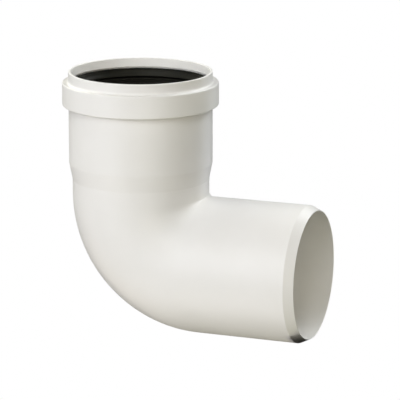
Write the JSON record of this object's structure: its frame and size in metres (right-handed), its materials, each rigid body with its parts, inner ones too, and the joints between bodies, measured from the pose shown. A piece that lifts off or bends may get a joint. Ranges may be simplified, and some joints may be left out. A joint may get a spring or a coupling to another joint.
{
  "type": "flue elbow",
  "caption": "Ninety-degree elbow for a push-fit plastic flue pipe, with a plain spigot at one end and a collared socket with a lip seal at the other.",
  "frame": {"origin": "centre of the spigot's end plane, on the spigot's axis", "axes": "+X along the spigot, out of its open end; +Z along the socket's axis, out of its mouth"},
  "size_m": [0.1525, 0.091, 0.1523],
  "materials": {
    "body_plastic": "satin moulded polypropylene, off-white",
    "seal_rubber": "smooth black rubber"
  },
  "bodies": {
    "root": {"elbow_body": "body_plastic", "lip_seal": "seal_rubber"}
  },
  "joints": []
}
